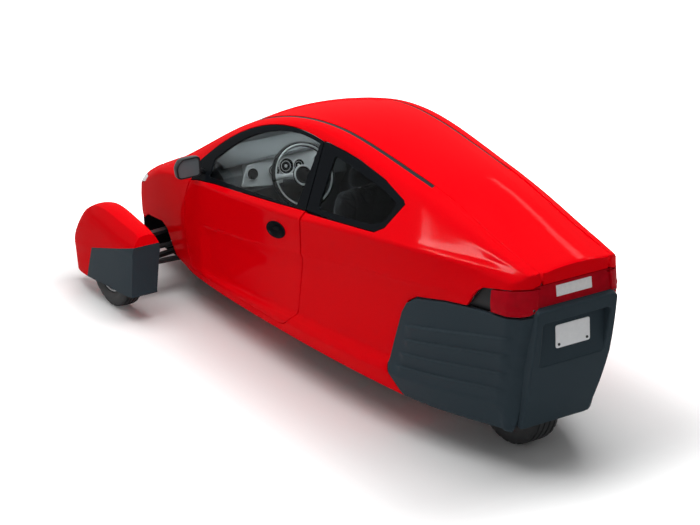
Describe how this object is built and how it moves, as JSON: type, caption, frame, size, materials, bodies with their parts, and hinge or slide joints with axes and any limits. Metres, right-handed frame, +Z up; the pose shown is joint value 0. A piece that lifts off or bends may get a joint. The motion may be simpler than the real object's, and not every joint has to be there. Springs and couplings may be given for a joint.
{
  "type": "three wheeled car",
  "caption": "Enclosed narrow car with outboard faired front wheels that steer, a single rear wheel, a side door, a hood lid and tandem seats.",
  "frame": {"origin": "centre of the bounding box at ground level", "axes": "+X forward to the nose, +Y to the driver's left, +Z up"},
  "size_m": [4.077, 1.8598, 1.3569],
  "materials": {
    "red_paint": "gloss",
    "grey_plastic": "satin grained",
    "black_trim": "satin",
    "glass": "polished",
    "lamp_lens": "polished",
    "clear_lens": "polished",
    "black_steel": "satin",
    "cast_alloy": "cast",
    "tyre": "matte",
    "seat_cloth": "woven"
  },
  "bodies": {
    "chassis": {"front_clip": "red_paint", "left_side_frame": "red_paint", "right_side_frame": "red_paint", "roof_panel": "red_paint", "roof_gutters": "black_trim", "windscreen": "glass", "floor_pan": "grey_plastic", "left_tail_lamp": "lamp_lens", "right_tail_lamp": "lamp_lens", "reversing_lamp": "clear_lens", "left_cladding": "grey_plastic", "right_cladding": "grey_plastic", "rear_bumper": "grey_plastic", "quarter_glasses": "glass", "right_front_glass": "glass", "right_mirror": "black_trim", "bulkheads": "grey_plastic", "dashboard": "grey_plastic", "front_subframe": "black_steel", "engine_block": "cast_alloy", "left_arms": "black_steel", "right_arms": "black_steel", "drive_shafts": "black_steel", "swing_arm": "black_steel", "driver_seat": "seat_cloth", "passenger_seat": "seat_cloth"},
    "left_upright": {"left_knuckle": "cast_alloy", "left_pod": "red_paint", "left_pod_skirt": "grey_plastic"},
    "right_upright": {"right_knuckle": "cast_alloy", "right_pod": "red_paint", "right_pod_skirt": "grey_plastic"},
    "left_wheel": {"left_tyre": "tyre", "left_rim": "cast_alloy"},
    "right_wheel": {"right_tyre": "tyre", "right_rim": "cast_alloy"},
    "rear_wheel": {"rear_tyre": "tyre", "rear_rim": "cast_alloy"},
    "door": {"left_door": "red_paint", "left_door_glass": "glass", "door_handle": "black_trim", "left_mirror": "black_trim"},
    "hood_lid": {"hood": "red_paint"},
    "rack": {"steering_rack": "black_steel"},
    "hand_wheel": {"steering_wheel": "black_trim"}
  },
  "joints": [
    {"name": "left_steer", "type": "hinge", "parent": "chassis", "child": "left_upright", "pos_m": [1.2855, 0.78, 0.278], "axis": [0, 0, -1], "range_deg": [-27, 27]},
    {"name": "right_steer", "type": "hinge", "parent": "chassis", "child": "right_upright", "pos_m": [1.2855, -0.78, 0.278], "axis": [0, 0, -1], "range_deg": [-27.2, 27.2]},
    {"name": "rack_slide", "type": "slide", "parent": "chassis", "child": "rack", "axis": [0, 1, 0], "range_m": [-0.053, 0.053]},
    {"name": "hand_wheel_turn", "type": "hinge", "parent": "chassis", "child": "hand_wheel", "pos_m": [0.5415, 0, 0.79], "axis": [0.9135, 0, -0.4067], "range_deg": [-379, 379]},
    {"name": "door_hinge", "type": "hinge", "parent": "chassis", "child": "door", "pos_m": [0.9945, 0.53, 0.48], "axis": [0, 0, -1], "range_deg": [0, 47]},
    {"name": "hood_hinge", "type": "hinge", "parent": "chassis", "child": "hood_lid", "pos_m": [1.3645, 0, 0.775], "axis": [0, -1, 0], "range_deg": [0, 60]},
    {"name": "left_wheel_spin", "type": "hinge", "parent": "left_upright", "child": "left_wheel", "pos_m": [1.2855, 0.833, 0.278], "axis": [0, 1, 0], "continuous": true},
    {"name": "right_wheel_spin", "type": "hinge", "parent": "right_upright", "child": "right_wheel", "pos_m": [1.2855, -0.833, 0.278], "axis": [0, 1, 0], "continuous": true},
    {"name": "rear_wheel_spin", "type": "hinge", "parent": "chassis", "child": "rear_wheel", "pos_m": [-1.5085, 0, 0.29], "axis": [0, 1, 0], "continuous": true}
  ],
  "couplings": [
    {"joint": "right_steer", "follows": "left_steer", "ratio": 1},
    {"joint": "rack_slide", "follows": "left_steer", "m_per_rad": -0.11},
    {"joint": "hand_wheel_turn", "follows": "left_steer", "ratio": 14}
  ]
}
